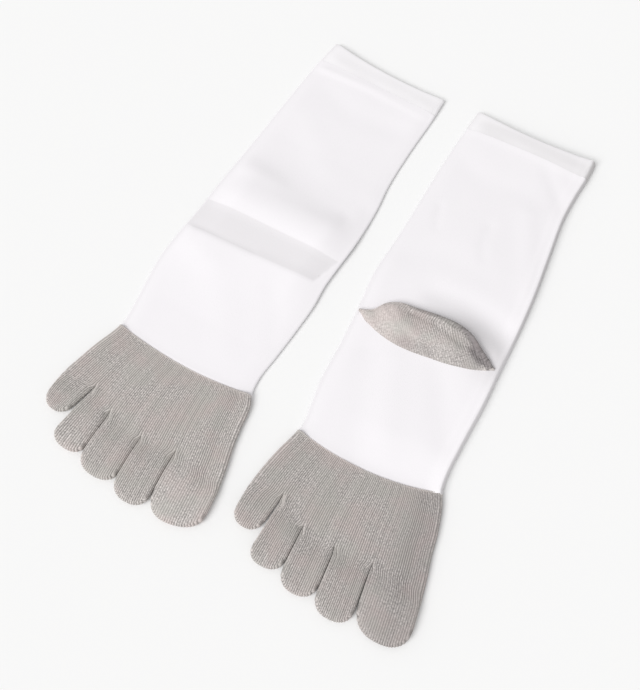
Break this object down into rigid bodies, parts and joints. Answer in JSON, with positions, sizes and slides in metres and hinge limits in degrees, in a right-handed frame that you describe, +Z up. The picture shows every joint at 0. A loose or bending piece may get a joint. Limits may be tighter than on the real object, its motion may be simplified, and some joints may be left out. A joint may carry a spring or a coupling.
{
  "type": "pair of toe socks",
  "caption": "Pair of crew socks with separate toes, lying flat: one instep up, one sole up with its heel pocket showing. White legs, grey heels, forefeet and toes.",
  "frame": {"origin": "middle of the pair's footprint, on the surface that it lies on", "axes": "+Y from the toes to the cuffs, +Z up, +X from the right sock to the left sock"},
  "size_m": [0.252, 0.3441, 0.0086],
  "materials": {
    "white_knit": "fine, soft plain knit in white cotton, matt",
    "white_welt": "double welt in the same white yarn, with elastic, matt",
    "grey_knit": "heathered warm grey knit with fine ribs about 1 mm apart along the foot, matt"
  },
  "bodies": {
    "root": {"right_cuff": "white_welt", "right_leg": "white_knit", "right_heel": "grey_knit", "right_forefoot": "grey_knit", "right_toe_1": "grey_knit", "right_toe_2": "grey_knit", "right_toe_3": "grey_knit", "right_toe_4": "grey_knit", "right_toe_5": "grey_knit", "left_cuff": "white_welt", "left_leg": "white_knit", "left_heel": "grey_knit", "left_forefoot": "grey_knit", "left_toe_1": "grey_knit", "left_toe_2": "grey_knit", "left_toe_3": "grey_knit", "left_toe_4": "grey_knit", "left_toe_5": "grey_knit"}
  },
  "joints": []
}
